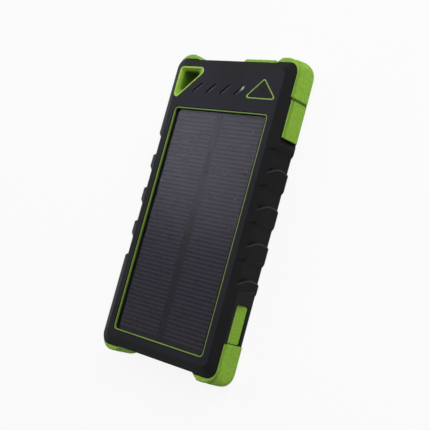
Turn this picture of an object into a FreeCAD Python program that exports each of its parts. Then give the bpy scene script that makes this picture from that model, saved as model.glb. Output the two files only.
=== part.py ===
import FreeCAD, Part
import math
import os

# Solar phone charger, built as an assembly of separate solids, in millimetres.
# +Z is out of the solar face, +Y points to the end with the lanyard eyelet,
# and the origin is the centre of the flat back.

os.makedirs("parts", exist_ok=True)
Vec = FreeCAD.Vector

# ---------------------------------------------------------------- case block
case_width = 84.0
case_length = 160.0
case_thickness = 18.5
case_corner_radius = 6.0
front_corner_radius = 3.5
bevel_width = 5.3
bevel_drop = 2.85
back_edge_radius = 3.0
back_edge_steps = 4
seam_height = 3.4
floor_thickness = 1.8
front_wall = 2.0
side_wall = 2.9
end_wall = 3.1
end_recess = 0.6
end_recess_beyond_bumper = 0.4
end_recess_ramp = 1.6

# ---------------------------------------------------------------- side grips
grip_count = 4
first_ledge_from_end = 50.95
last_ledge_from_end = 52.95
grip_depth = 1.7
grip_draft = 0.8
grip_length = 7.65
grip_ramp = 2.1
ledge_arc_radius = 13.65
ledge_arc_height = 7.5

# ------------------------------------------------------------ corner bumpers
bumper_proud = 2.4
bumper_corner_radius = 8.5
bumper_fullest_radius = 3.6
bumper_side_reach = 17.5
bumper_low_side_reach = 18.5
bumper_end_reach = 15.4
bumper_end_ramp = 4.2
bumper_side_depth = 2.5
bumper_end_depth = 2.0
bumper_top_chamfer = 0.4
barrel_steps = 5
lip_height = 0.9
lip_groove_height = 2.0
lip_groove_depth = 0.75
bumper_seat_radius = 5.0
foot_thickness = 1.0
foot_reach = 2.0
foot_radius = 6.0

# --------------------------------------------------------------- solar panel
window_side_margin = 9.05
window_low_margin = 8.75
window_high_margin = 28.05
ring_band = 0.65
ring_corner_radius = 2.4
ring_drop = 0.35
ring_gap = 0.25
panel_depth = 1.3
film_over_cells = 0.3
cell_thickness = 0.25
solar_board_thickness = 1.0
tape_thickness = 0.3
tape_width = 4.0
pocket_web = 2.0
cell_margin = 1.8
cell_gap = 2.6
bus_width = 2.4
panel_fit = 0.15

# ------------------------------------------------------------ lanyard eyelet
eyelet_side_margin = 5.5
eyelet_end_margin = 5.55
eyelet_leg_x = 21.25
eyelet_leg_y = 20.15
eyelet_radius = 2.3
eyelet_proud = 0.1
rim_land = 0.7
rim_slope_width = 1.4
rim_slope_depth = 1.7
well_wall = 1.2

# ---------------------------------------------------- charge lights and slots
slot_count = 4
slot_left_margin = 22.2
slot_right_margin = 31.9
slot_end_margin = 17.05
slot_length = 7.9
slot_width = 1.8
slot_angle = 41.5
pipe_recess = 0.5
pipe_fit = 0.05
pipe_flange = 0.6
pipe_flange_thickness = 1.1
led_length = 2.0
led_width = 1.25
led_height = 0.8

# -------------------------------------------------------------- power button
button_side_margin = 17.1
button_end_margin = 20.95
button_half_base = 11.1
button_height = 11.25
button_corner_radius = 1.2
button_sink = 0.15
button_gap = 0.2
button_travel = 0.5
surround_band = 0.85
surround_proud = 0.1
surround_depth = 2.9
surround_lip = 1.0
button_flange = 0.8
button_flange_gap = 0.1
button_flange_reach = 0.7
stem_radius = 1.3
symbol_radius = 1.7
symbol_line = 0.35
symbol_height = 0.12
switch_size = 4.5
switch_height = 1.6
plunger_radius = 1.0
plunger_stand = 0.7
plunger_fit = 0.08

# ---------------------------------------------------------------- port flaps
flap_gap = 0.15
flap_side_gap = 0.25
flap_bottom = 0.6
flap_edge_bevel = 0.5
hinge_bead_radius = 0.5
hinge_fit = 0.06
hinge_groove = 0.9
plug_fit = 0.35
plug_depth = 1.2
side_flap_length = 20.2
side_flap_thickness = 2.0
side_flap_drop = 1.3
side_nail_slope = 3.4
side_hinge_sink = 0.6
side_hinge_setback = 0.35
end_flap_width = 20.7
end_flap_thickness = 2.4
end_flap_notch = 2.4
end_flap_seat = 0.5
end_flap_taper = 1.6
end_flap_drop = 1.55
charge_flap_length = 19.6
charge_flap_bottom = 3.0
charge_flap_drop = 2.55
charge_hinge_sink = 0.55
charge_hinge_setback = 0.75
charge_flap_sink = 2.2
charge_flap_thickness = 1.2
charge_flap_radius = 1.4
low_side_rest = 6.0
low_side_draft = 2.0
charge_plug_depth = 0.6

# ------------------------------------------------------------------- sockets
usb_width = 13.1
usb_height = 5.7
usb_depth = 10.0
usb_sheet = 0.3
usb_tongue = 1.8
usb_back = 1.5
usb_setback = 1.5
socket_fit = 0.3
micro_width = 7.6
micro_height = 2.9
micro_depth = 5.6
micro_sheet = 0.3
micro_tongue = 0.7
micro_setback = 0.8
charge_port_offset = 9.8
side_port_offset = 10.7

# -------------------------------------------------------------------- boards
board_thickness = 1.2
board_length = 34.2
board_left_gap = 2.0
board_fit = 0.6
component_room = 1.55
charge_board_thickness = 0.8
charge_board_length = 18.0
charge_board_gap = 0.4
ribbon_thickness = 0.4
ribbon_width = 2.4
ribbon_overlap = 2.6
wire_radius = 0.5
solar_wire_inset = 11.4
solar_wire_margin = 5.7
wire_spacing = 2.6
wire_hole_fit = 0.4
inductor_size = 8.0
inductor_corner = 1.2
inductor_height = 4.5
inductor_x = -8.0
inductor_rise = 16.5
capacitor_radius = 2.2
capacitor_height = 5.4
capacitor_inset = 15.4
capacitor_rise = 7.5
capacitor_pitch = 5.6
chip_size = 6.0
chip_height = 1.0
chip_x = 2.0
chip_rise = 19.5
connector_width = 7.6
connector_depth = 5.0
connector_height = 4.4
connector_x = 7.0
connector_rise = 5.5

# ------------------------------------------------------------------- battery
battery_side_room = 7.9
battery_low_room = 5.8
battery_high_room = 3.0
pad_thickness = 1.7
battery_radius = 2.0
battery_tape = 0.5
pad_width = 12.0
pad_inset = 6.0
guard_board_width = 28.0
guard_board_depth = 2.9
guard_board_thickness = 1.0
guard_board_rise = 3.9
tab_width = 4.0
tab_thickness = 0.2
tab_spacing = 12.0
tab_x = -6.0

# -------------------------------------------------------- screws, posts, seal
case_screw_inset = 2.5
case_screw_low_room = 6.8
case_screw_high_room = 6.5
end_screw_inset = 3.6
end_screw_left = -6.0
end_screw_beyond_bumper = 3.4
screw_head_radius = 2.2
screw_head_height = 1.4
screw_shank_radius = 1.1
screw_length = 8.0
screw_fit = 0.05
screw_recess = 0.1
boss_radius = 2.3
driver_slot = 0.5
driver_depth = 0.7
board_screw_left_inset = 20.9
board_screw_right_inset = 20.8
board_screw_low_rise = 9.5
board_screw_high_x = 0.5
board_screw_high_rise = 29.3
charge_board_screw_inset = 2.8
charge_board_screw_spacing = 13.0
small_head_radius = 1.7
small_head_height = 1.0
small_shank_radius = 0.8
small_screw_length = 3.4
post_radius = 1.8
seal_width = 0.8
seal_height = 0.8
seal_inset = 0.5

# ------------------------------------------------------------- derived sizes
half_width = case_width / 2
half_length = case_length / 2
bevel_base = case_thickness - bevel_drop
end_face = half_length - end_recess
cavity_half_width = half_width - grip_depth - side_wall
cavity_half_length = end_face - end_wall
cavity_radius = 4.0
bumper_overall_length = case_length + 2 * bumper_proud
bumper_side_end = half_length - bumper_side_reach
bumper_low_side_end = bumper_low_side_reach - half_length
ledge_fall = ledge_arc_radius - math.sqrt(ledge_arc_radius ** 2
                                          - (case_thickness - ledge_arc_height) ** 2)
bumper_inner_end = half_width - bumper_end_reach
end_recess_half_width = bumper_inner_end + end_recess_beyond_bumper
ring_outer_width = case_width - 2 * window_side_margin
ring_outer_length = case_length - window_low_margin - window_high_margin
window_centre_y = (window_low_margin - window_high_margin) / 2
grip_first_ledge = first_ledge_from_end - half_length
grip_pitch = (half_length - last_ledge_from_end - grip_first_ledge) / (grip_count - 1)
eyelet_left = eyelet_side_margin - half_width
eyelet_top = half_length - eyelet_end_margin
slot_first_x = slot_left_margin - half_width
slot_pitch = (half_width - slot_right_margin - slot_first_x) / (slot_count - 1)
slot_y = half_length - slot_end_margin
button_x = half_width - button_side_margin
button_base_y = half_length - button_end_margin
side_flap_top = bevel_base - side_flap_drop
end_flap_top = bevel_base - end_flap_drop
end_flap_right = bumper_inner_end - end_flap_notch
end_flap_left = end_flap_right - end_flap_width
charge_flap_top = bevel_base - charge_flap_drop
side_port_y = bumper_side_end - side_port_offset
charge_port_y = bumper_low_side_end + charge_port_offset
ring_top = case_thickness - ring_drop
film_top = ring_top - panel_depth
cell_top = film_top - film_over_cells
solar_board_top = cell_top - cell_thickness
solar_board_bottom = solar_board_top - solar_board_thickness
pocket_floor = solar_board_bottom - tape_thickness
ceiling = pocket_floor - pocket_web
end_ceiling = case_thickness - front_wall
pocket_half_width = ring_outer_width / 2 + ring_gap
pocket_half_length = ring_outer_length / 2 + ring_gap
pocket_end = window_centre_y + pocket_half_length
board_top = ceiling - component_room
board_bottom = board_top - board_thickness
board_left = board_left_gap - cavity_half_width
board_right = cavity_half_width - board_fit
board_high_edge = cavity_half_length - board_fit
board_low_edge = board_high_edge - board_length
port_height = board_bottom - usb_height / 2
charge_board_top = board_bottom - ribbon_thickness
charge_board_bottom = charge_board_top - charge_board_thickness
charge_port_height = charge_board_bottom - micro_height / 2
battery_bottom = floor_thickness + battery_tape
battery_top = ceiling - pad_thickness
battery_half_width = cavity_half_width - battery_side_room
battery_low = battery_low_room - cavity_half_length
battery_end = board_low_edge - battery_high_room
charge_board_edge = battery_half_width + charge_board_gap
solar_wire_x = board_left + solar_wire_inset
solar_wire_y = pocket_end - solar_wire_margin
connector_y = board_low_edge + connector_rise
above = case_thickness + 2.0
outside = half_width + 2.0
below = -1.0


# ------------------------------------------------------------------- helpers
def save(node, shape):
    """Write one node, after checking that it is whole."""
    for solid in shape.Solids:
        if not solid.isValid() or solid.Volume < 0.001:
            raise ValueError(node + " has a faulty solid")
    shape.exportStep("parts/" + node + ".step")
    print(node, len(shape.Solids), "solid(s)", round(shape.Volume, 2), "mm3")


def box(x0, x1, y0, y1, z0, z1):
    return Part.makeBox(x1 - x0, y1 - y0, z1 - z0, Vec(x0, y0, z0))


def post(x, y, radius, z0, z1):
    return Part.makeCylinder(radius, z1 - z0, Vec(x, y, z0))


def rectangle(half_x, half_y, centre_x=0.0, centre_y=0.0):
    """Corners of a rectangle, anticlockwise."""
    return [(centre_x - half_x, centre_y - half_y), (centre_x + half_x, centre_y - half_y),
            (centre_x + half_x, centre_y + half_y), (centre_x - half_x, centre_y + half_y)]


def inset(corners, distance):
    """Move every side of an anticlockwise convex outline inwards."""
    count = len(corners)
    lines = []
    for i in range(count):
        (ax, ay), (bx, by) = corners[i], corners[(i + 1) % count]
        length = math.hypot(bx - ax, by - ay)
        nx, ny = -(by - ay) / length, (bx - ax) / length
        lines.append((nx, ny, nx * ax + ny * ay + distance))
    moved = []
    for i in range(count):
        (a, b, c), (d, e, f) = lines[i - 1], lines[i]
        det = a * e - b * d
        moved.append(((c * e - b * f) / det, (a * f - c * d) / det))
    return moved


def outline(corners, radius, z=0.0):
    """Closed wire through the corners, each one rounded by a tangent arc."""
    count = len(corners)
    starts, middles, ends = [], [], []
    for i in range(count):
        here = Vec(corners[i][0], corners[i][1], z)
        back = Vec(corners[i - 1][0], corners[i - 1][1], z).sub(here).normalize()
        ahead = Vec(corners[(i + 1) % count][0], corners[(i + 1) % count][1], z).sub(here).normalize()
        half_angle = back.getAngle(ahead) / 2
        tangent = radius / math.tan(half_angle)
        bisector = back.add(ahead).normalize()
        starts.append(here.add(back * tangent))
        middles.append(here.add(bisector * (radius / math.sin(half_angle) - radius)))
        ends.append(here.add(ahead * tangent))
    edges = []
    for i in range(count):
        edges.append(Part.Arc(starts[i], middles[i], ends[i]).toShape())
        edges.append(Part.LineSegment(ends[i], starts[(i + 1) % count]).toShape())
    return Part.Wire(edges)


def plate(corners, radius, z0, z1):
    """Upright slab with a rounded outline."""
    return Part.Face(outline(corners, radius, z0)).extrude(Vec(0, 0, z1 - z0))


def polygon_face(points, z):
    wire = Part.makePolygon([Vec(x, y, z) for x, y in points + points[:1]])
    return Part.Face(wire)


def upright(points, z0, z1):
    """Upright slab with a sharp outline."""
    return polygon_face(points, z0).extrude(Vec(0, 0, z1 - z0))


def side_cutter(points, lean, draft=0.0):
    """A cut down the wall, deeper by the draft at the back, that leans with the front bevel above it."""
    face = polygon_face(points, bevel_base)
    down = face.extrude(Vec(-draft * (bevel_base - below) / bevel_base, 0, below - bevel_base))
    up = face.extrude(Vec(lean[0] * 1.4, lean[1] * 1.4, bevel_drop * 1.4))
    return down.fuse(up)


def mirrored(shape, sign_x, sign_y):
    if sign_x < 0:
        shape = shape.mirror(Vec(0, 0, 0), Vec(1, 0, 0))
    if sign_y < 0:
        shape = shape.mirror(Vec(0, 0, 0), Vec(0, 1, 0))
    return shape


def bottom_edges(shape, z):
    return [e for e in shape.Edges if e.BoundBox.ZMin > z - 0.01 and e.BoundBox.ZMax < z + 0.01]


# ---------------------------------------------------------------- the outside
def rounded_block(half_x, half_y, radius, top):
    """Upright block with its back edge rounded."""
    block = plate(rectangle(half_x, half_y), radius, 0, top)
    return block.makeFillet(back_edge_radius, bottom_edges(block, 0))


def case_envelope():
    """The whole black case as one block: upright wall, then a shallow bevel to the flat front."""
    wall = rounded_block(half_width, half_length, case_corner_radius, bevel_base)
    rim = outline(rectangle(half_width, half_length), case_corner_radius, bevel_base)
    face = outline(rectangle(half_width - bevel_width, half_length - bevel_width),
                   front_corner_radius, case_thickness)
    return wall.fuse(Part.makeLoft([rim, face], True, True))


def grip_cutter(ledge):
    """One finger recess on the +X side, from a curved ledge up to a ramp."""
    floor = half_width - grip_depth
    start = ledge - ledge_fall - grip_ramp / 2
    points = [(floor, start), (outside, start), (outside, ledge + grip_length + grip_ramp),
              (half_width, ledge + grip_length + grip_ramp), (floor, ledge + grip_length)]
    recess = side_cutter(points, (grip_depth - bevel_width, 0), grip_draft)
    drum = Part.makeCylinder(ledge_arc_radius, 2 * outside,
                             Vec(-outside, ledge - ledge_arc_radius, ledge_arc_height), Vec(1, 0, 0))
    return recess.cut(drum)


def end_cutter():
    """The stretch between two corners, set back on the +Y end."""
    far = half_length + 2.0
    wide = end_recess_half_width + end_recess_ramp
    points = [(-end_recess_half_width, end_face), (end_recess_half_width, end_face),
              (wide, half_length), (wide, far), (-wide, far), (-wide, half_length)]
    return side_cutter(points, (0, end_recess - bevel_width))


def low_side_cutter():
    """The stretch beside the charging flap, which only falls in towards the back."""
    far = half_width + grip_depth
    low, high = bumper_low_side_end, bumper_low_side_end + charge_flap_length + low_side_rest
    points = [(half_width, low), (far, low), (far, high + grip_ramp), (half_width, high)]
    return side_cutter(points, (0, 0), low_side_draft)


# ------------------------------------------------------------ corner bumpers
def bumper_seat():
    """What a bumper wraps: the case's core, and the smaller patch between its feet."""
    seat_x = half_width - bumper_side_depth
    seat_y = half_length - bumper_end_depth
    core = plate(rectangle(seat_x, seat_y), bumper_seat_radius, foot_thickness, bevel_base)
    patch = plate(rectangle(seat_x - foot_reach, seat_y - foot_reach), foot_radius,
                  below, foot_thickness)
    return core.fuse(patch)


def corner_room(side_end):
    """The corner zone that a bumper fills, in the +X +Y quarter."""
    zone = box(bumper_inner_end, outside, side_end, bumper_overall_length, below, bevel_base)
    return zone.cut(bumper_seat())


def bumper_outline(z, inset_by=0.0):
    """Outside of the four bumpers at one height; their corners are fullest at half height."""
    fullness = math.sin(math.pi * z / bevel_base)
    radius = bumper_corner_radius - (bumper_corner_radius - bumper_fullest_radius) * fullness
    half_overall = bumper_overall_length / 2
    return outline(rectangle(half_width - inset_by, half_overall - inset_by), radius - inset_by, z)


def bumper_block():
    """Skin of the four bumpers, with a rounded back edge and a small chamfer in front."""
    sections = []
    for step in range(back_edge_steps):
        angle = math.pi / 2 * step / back_edge_steps
        sections.append(bumper_outline(back_edge_radius * (1 - math.cos(angle)),
                                       back_edge_radius * (1 - math.sin(angle))))
    chamfer_base = bevel_base - bumper_top_chamfer
    rise = (chamfer_base - back_edge_radius) / barrel_steps
    sections += [bumper_outline(back_edge_radius + rise * step) for step in range(barrel_steps + 1)]
    sections.append(bumper_outline(bevel_base, bumper_top_chamfer))
    return Part.makeLoft(sections, True, True)


def lip_groove():
    """Shallow groove behind the bumpers' front lip, deepest right under the lip."""
    high = bevel_base - lip_height
    low = high - lip_groove_height
    core = Part.makeLoft([bumper_outline(low), bumper_outline(high, lip_groove_depth)], True, True)
    return box(-outside, outside, -bumper_overall_length, bumper_overall_length, low, high).cut(core)


def corner_bumper(side_end):
    """Rubber guard of the +X +Y corner."""
    half_overall = bumper_overall_length / 2
    guard = bumper_block().common(corner_room(side_end)).cut(lip_groove())
    ramp = upright([(bumper_inner_end - 1, end_face), (bumper_inner_end, end_face),
                    (bumper_inner_end + bumper_end_ramp, half_overall),
                    (bumper_inner_end + bumper_end_ramp, half_overall + 1),
                    (bumper_inner_end - 1, half_overall + 1)], below, above)
    return guard.cut(ramp)


# ---------------------------------------------------------------- port flaps
side_flap_seat = half_width - side_flap_thickness
side_hinge = (half_width - side_hinge_sink, bumper_side_end - side_hinge_setback)
side_free_end = bumper_side_end - side_flap_length
end_seat = end_face - end_flap_seat
end_flap_face = end_seat + flap_gap + end_flap_thickness
end_hinge = (end_flap_right + 0.3, end_seat + flap_gap + hinge_bead_radius)
charge_face = half_width - charge_flap_sink
charge_seat = charge_face - charge_flap_thickness
charge_hinge = (charge_face - charge_hinge_sink, bumper_low_side_end + charge_hinge_setback)
charge_free_end = bumper_low_side_end + charge_flap_length


def port_hole(length, height, fit):
    """Half sizes of a mouth around a socket."""
    return length / 2 + fit, height / 2 + fit


def side_flap_room():
    """Pocket of the side flap with its fingernail slope, on the +X side."""
    free = side_free_end - flap_side_gap
    points = [(side_flap_seat, bumper_side_end), (side_flap_seat, free),
              (half_width, free - side_nail_slope), (outside, free - side_nail_slope),
              (outside, bumper_side_end)]
    pocket = upright(points, flap_bottom - flap_side_gap, side_flap_top + flap_side_gap)
    half_y, half_z = port_hole(usb_width, usb_height, socket_fit)
    mouth = box(cavity_half_width - 1, outside, side_port_y - half_y, side_port_y + half_y,
                port_height - half_z, port_height + half_z)
    return pocket.fuse(mouth)


def hinge_cut(sign):
    """One slope of the groove over the side flap's hinge, below it (-1) or above it (1)."""
    x, y = side_hinge
    points = [(half_width, y + sign * hinge_groove), (outside, y + sign * hinge_groove), (outside, y), (x, y)]
    return upright(points, below, above)


def side_port_flap():
    body = box(side_flap_seat + flap_gap, half_width, side_free_end, side_hinge[1] - 0.3,
               flap_bottom, side_flap_top)
    block = rounded_block(half_width, half_length, case_corner_radius, bevel_base)
    body = body.common(block)
    bevel_start = Vec(half_width - flap_edge_bevel, 0, side_flap_top)
    bevel_end = Vec(half_width, 0, side_flap_top - flap_edge_bevel)
    bevel = Part.Face(Part.makePolygon([bevel_start, bevel_end, Vec(outside, 0, side_flap_top), bevel_start]))
    body = body.cut(bevel.extrude(Vec(0, half_length, 0)))
    high = side_flap_top - lip_height
    groove = Part.Face(Part.makePolygon([Vec(half_width, 0, high - lip_groove_height), Vec(outside, 0, high),
                                         Vec(half_width - lip_groove_depth, 0, high),
                                         Vec(half_width, 0, high - lip_groove_height)]))
    body = body.cut(groove.extrude(Vec(0, half_length, 0)))
    body = body.cut(hinge_cut(-1))
    half_y, half_z = port_hole(usb_width, usb_height, socket_fit - plug_fit)
    plug = box(side_flap_seat - plug_depth, side_flap_seat + flap_gap,
               side_port_y - half_y, side_port_y + half_y, port_height - half_z, port_height + half_z)
    bead = post(side_hinge[0], side_hinge[1], hinge_bead_radius,
                flap_bottom + back_edge_radius, side_flap_top - flap_edge_bevel)
    return body.fuse([plug, bead]).removeSplitter()


def end_port_x():
    return (end_flap_left + end_flap_right) / 2 + 0.3


def end_flap_room():
    """Pocket of the flap on the +Y end."""
    right = end_hinge[0] + hinge_bead_radius + hinge_fit
    pocket = box(end_flap_left - flap_side_gap, right, end_seat, half_length + 3,
                 flap_bottom - flap_side_gap, end_flap_top + flap_side_gap)
    half_x, half_z = port_hole(usb_width, usb_height, socket_fit)
    mouth = box(end_port_x() - half_x, end_port_x() + half_x, cavity_half_length - 1, half_length + 3,
                port_height - half_z, port_height + half_z)
    return pocket.fuse(mouth)


def end_port_flap():
    points = [(end_flap_left, end_seat + flap_gap), (end_flap_right, end_seat + flap_gap),
              (end_flap_right, end_flap_face), (end_flap_left + end_flap_taper, end_flap_face),
              (end_flap_left, end_face + flap_gap)]
    body = upright(points, flap_bottom, end_flap_top)
    long_edges = [e for e in body.Edges
                  if e.BoundBox.YMin > end_flap_face - 0.01 and e.BoundBox.XLength > end_flap_taper]
    body = body.makeChamfer(flap_edge_bevel, long_edges)
    half_x, half_z = port_hole(usb_width, usb_height, socket_fit - plug_fit)
    plug = box(end_port_x() - half_x, end_port_x() + half_x, end_seat - plug_depth, end_seat + flap_gap,
               port_height - half_z, port_height + half_z)
    bead = post(end_hinge[0], end_hinge[1], hinge_bead_radius, flap_bottom, end_flap_top)
    return body.fuse([plug, bead]).removeSplitter()


def charge_flap_room():
    """Sunk pocket of the small flap beside the lower right bumper."""
    free = charge_free_end + flap_side_gap
    low, high = charge_flap_bottom - flap_side_gap, charge_flap_top + flap_side_gap
    pocket = rounded_side_plate(bumper_low_side_end, free, low, high, charge_seat, outside,
                                charge_flap_radius + flap_side_gap)
    half_y, half_z = port_hole(micro_width, micro_height, socket_fit)
    mouth = box(cavity_half_width - 1, outside, charge_port_y - half_y, charge_port_y + half_y,
                charge_port_height - half_z, charge_port_height + half_z)
    return pocket.fuse(mouth)


def rounded_side_plate(y0, y1, z0, z1, x0, x1, radius):
    """Slab across X, with its two corners at the y1 end rounded."""
    slab = box(x0, x1, y0, y1, z0, z1)
    ends = [e for e in slab.Edges if e.BoundBox.YMin > y1 - 0.01 and e.BoundBox.XLength > 0.1]
    return slab.makeFillet(radius, ends)


def charge_port_flap():
    body = rounded_side_plate(charge_hinge[1] + 0.2, charge_free_end, charge_flap_bottom, charge_flap_top,
                              charge_seat + flap_gap, charge_face, charge_flap_radius)
    half_y, half_z = port_hole(micro_width, micro_height, socket_fit - plug_fit)
    plug = box(charge_seat - charge_plug_depth, charge_seat + flap_gap, charge_port_y - half_y,
               charge_port_y + half_y, charge_port_height - half_z, charge_port_height + half_z)
    bead = post(charge_hinge[0], charge_hinge[1], hinge_bead_radius, charge_flap_bottom, charge_flap_top)
    return body.fuse([plug, bead]).removeSplitter()


# ------------------------------------------------ openings in the front face
eyelet_corners = [(eyelet_left, eyelet_top), (eyelet_left, eyelet_top - eyelet_leg_y),
                  (eyelet_left + eyelet_leg_x, eyelet_top)]
button_corners = [(button_x - button_half_base, button_base_y), (button_x + button_half_base, button_base_y),
                  (button_x, button_base_y + button_height)]
slot_centres = [(slot_first_x + slot_pitch * i, slot_y) for i in range(slot_count)]


def slot_plate(centre, length, width, z0, z1):
    """Leaning slab with round ends, for one light slot."""
    straight = (length - width) / 2
    slab = box(-straight, straight, -width / 2, width / 2, z0, z1)
    slab = slab.fuse([post(-straight, 0, width / 2, z0, z1), post(straight, 0, width / 2, z0, z1)])
    slab = slab.removeSplitter()
    slab.rotate(Vec(0, 0, 0), Vec(0, 0, 1), slot_angle)
    slab.translate(Vec(centre[0], centre[1], 0))
    return slab


# ------------------------------------------------------------------ the case
case_screw_x = cavity_half_width - case_screw_inset
case_screw_low = case_screw_low_room - cavity_half_length
case_screw_high = board_low_edge - case_screw_high_room
case_screw_rows = [case_screw_low, (case_screw_low + case_screw_high) / 2, case_screw_high]
end_screw_y = cavity_half_length - end_screw_inset
boss_places = [(sign * case_screw_x, y) for sign in (-1, 1) for y in case_screw_rows]
boss_places += [(end_screw_left, end_screw_y), (bumper_inner_end + end_screw_beyond_bumper, end_screw_y)]
board_screws = [(board_left + board_screw_left_inset, board_low_edge + board_screw_low_rise),
                (board_right - board_screw_right_inset, board_low_edge + board_screw_low_rise),
                (board_screw_high_x, board_low_edge + board_screw_high_rise)]
charge_screws = [(cavity_half_width - charge_board_screw_inset,
                  charge_port_y + sign * charge_board_screw_spacing / 2) for sign in (-1, 1)]


def cavity(z0, z1):
    return plate(rectangle(cavity_half_width, cavity_half_length), cavity_radius, z0, z1)


def seal_groove(z0, z1):
    outer = plate(rectangle(cavity_half_width + seal_inset + seal_width,
                            cavity_half_length + seal_inset + seal_width),
                  cavity_radius + seal_inset + seal_width, z0, z1)
    inner = plate(rectangle(cavity_half_width + seal_inset, cavity_half_length + seal_inset),
                  cavity_radius + seal_inset, z0, z1)
    return outer.cut(inner)


def case_block():
    """The black case before it is split and hollowed."""
    block = case_envelope()
    cutters = []
    for i in range(grip_count):
        grip = grip_cutter(grip_first_ledge + grip_pitch * i)
        cutters += [grip, mirrored(grip, -1, 1)]
    cutters += [end_cutter(), mirrored(end_cutter(), 1, -1)]
    cutters += [low_side_cutter(), mirrored(low_side_cutter(), -1, 1)]
    for sign_x in (-1, 1):
        cutters.append(mirrored(corner_room(bumper_side_end), sign_x, 1))
        cutters.append(mirrored(corner_room(-bumper_low_side_end), sign_x, -1))
    cutters += [side_flap_room(), end_flap_room(), charge_flap_room()]
    cutters.append(plate(eyelet_corners, eyelet_radius, below, above))
    return block.cut(cutters)


def front_housing(block):
    """Upper shell: the bevelled frame, its pocket for the panel, its bosses and posts."""
    shell = block.common(box(-outside, outside, -half_length - 2, half_length + 2, seam_height, above))
    room_end = pocket_end + pocket_web
    end_room = box(-cavity_half_width + 1.4, cavity_half_width - 1.4, room_end, cavity_half_length - 2.2,
                   ceiling - 1, end_ceiling)
    hollow = cavity(below, ceiling).fuse(end_room)
    inner = [plate(inset(eyelet_corners, -well_wall), eyelet_radius + well_wall, seam_height, above)]
    for x, y in boss_places:
        inner.append(post(x, y, boss_radius, seam_height, end_ceiling))
    for x, y in board_screws:
        inner.append(post(x, y, post_radius, board_top, end_ceiling))
    for x, y in charge_screws:
        inner.append(post(x, y, post_radius, charge_board_top, ceiling))
    shell = shell.cut(hollow.cut(inner))
    pocket = plate(rectangle(pocket_half_width, pocket_half_length, 0, window_centre_y),
                   ring_corner_radius + ring_gap, pocket_floor, above)
    cuts = [pocket, seal_groove(below, seam_height + seal_height)]
    cuts.append(plate(eyelet_corners, eyelet_radius, below, above))
    cuts.append(plate(button_corners, button_corner_radius, ceiling, above))
    for centre in slot_centres:
        cuts.append(slot_plate(centre, slot_length, slot_width, ceiling, above))
    for x, y in boss_places:
        cuts.append(post(x, y, screw_shank_radius + screw_fit, below, screw_length + screw_recess + 0.6))
    for x, y in board_screws:
        tip = board_bottom + small_screw_length
        cuts.append(post(x, y, small_shank_radius + screw_fit, board_top - 1, min(tip, ceiling + 1.0)))
    for x, y in charge_screws:
        tip = charge_board_bottom + small_screw_length
        cuts.append(post(x, y, small_shank_radius + screw_fit, charge_board_top - 1, tip))
    for sign in (-1, 1):
        cuts.append(post(solar_wire_x + sign * wire_spacing / 2, solar_wire_y,
                         wire_radius + wire_hole_fit, ceiling - 1, above))
    return shell.cut(cuts)


def screw_hole(x, y):
    """Clearance and countersink of one case screw."""
    head_top = screw_recess + screw_head_height
    cone = Part.makeCone(screw_head_radius + screw_fit, screw_shank_radius + screw_fit,
                         screw_head_height, Vec(x, y, screw_recess))
    mouth = post(x, y, screw_head_radius + screw_fit, below, screw_recess)
    return post(x, y, screw_shank_radius + screw_fit, head_top - 0.01, seam_height + 1).fuse([cone, mouth])


def rear_cover(block):
    """Back shell: a flat floor, a low wall, and a column under every boss."""
    shell = block.common(box(-outside, outside, -half_length - 2, half_length + 2, below, seam_height))
    columns = [post(x, y, boss_radius, floor_thickness, seam_height) for x, y in boss_places]
    columns.append(plate(inset(eyelet_corners, -well_wall), eyelet_radius + well_wall,
                         floor_thickness, seam_height))
    shell = shell.cut(cavity(floor_thickness, above).cut(columns))
    cuts = [screw_hole(x, y) for x, y in boss_places]
    cuts.append(plate(eyelet_corners, eyelet_radius, below, above))
    return shell.cut(cuts)


# ------------------------------------------------------- eyelet, ring, panel
def lanyard_eyelet():
    """Rubber tube through the case, with a sloped mouth at each face."""
    top = case_thickness + eyelet_proud
    tube = plate(eyelet_corners, eyelet_radius, 0, top)
    bore_inset = rim_land + rim_slope_width
    bore_radius = eyelet_radius - rim_land
    bore = plate(inset(eyelet_corners, bore_inset), bore_radius, below, above)
    mouth = Part.makeLoft([outline(inset(eyelet_corners, bore_inset), bore_radius, top - rim_slope_depth),
                           outline(inset(eyelet_corners, rim_land), bore_radius, top)], True, True)
    back_mouth = Part.makeLoft([outline(inset(eyelet_corners, bore_inset), bore_radius, rim_slope_depth),
                                outline(inset(eyelet_corners, rim_land), bore_radius, 0)], True, True)
    return tube.cut([bore, mouth, back_mouth])


def window_ring():
    outer = plate(rectangle(ring_outer_width / 2, ring_outer_length / 2, 0, window_centre_y),
                  ring_corner_radius, film_top, ring_top)
    inner = plate(rectangle(ring_outer_width / 2 - ring_band, ring_outer_length / 2 - ring_band,
                            0, window_centre_y), ring_corner_radius - ring_band, film_top, ring_top)
    return outer.cut(inner)


def panel_sheet(z0, z1, fit=panel_fit):
    return plate(rectangle(pocket_half_width - fit, pocket_half_length - fit, 0, window_centre_y),
                 ring_corner_radius + ring_gap - fit, z0, z1)


def panel_tape():
    inner = box(-pocket_half_width + tape_width, pocket_half_width - tape_width,
                window_centre_y - pocket_half_length + tape_width, pocket_end - tape_width,
                pocket_floor, solar_board_bottom)
    return panel_sheet(pocket_floor, solar_board_bottom).cut(inner)


def solar_cell(sign):
    """One column of cells, on the given side of the middle."""
    near = cell_gap / 2
    far = ring_outer_width / 2 - ring_band - cell_margin
    reach = ring_outer_length / 2 - ring_band - cell_margin
    x0, x1 = sorted((sign * near, sign * far))
    return box(x0, x1, window_centre_y - reach, window_centre_y + reach, solar_board_top, cell_top)


def bus_strip():
    reach = ring_outer_length / 2 - ring_band - cell_margin
    return box(-bus_width / 2, bus_width / 2, window_centre_y - reach, window_centre_y + reach,
               solar_board_top, cell_top)


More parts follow.
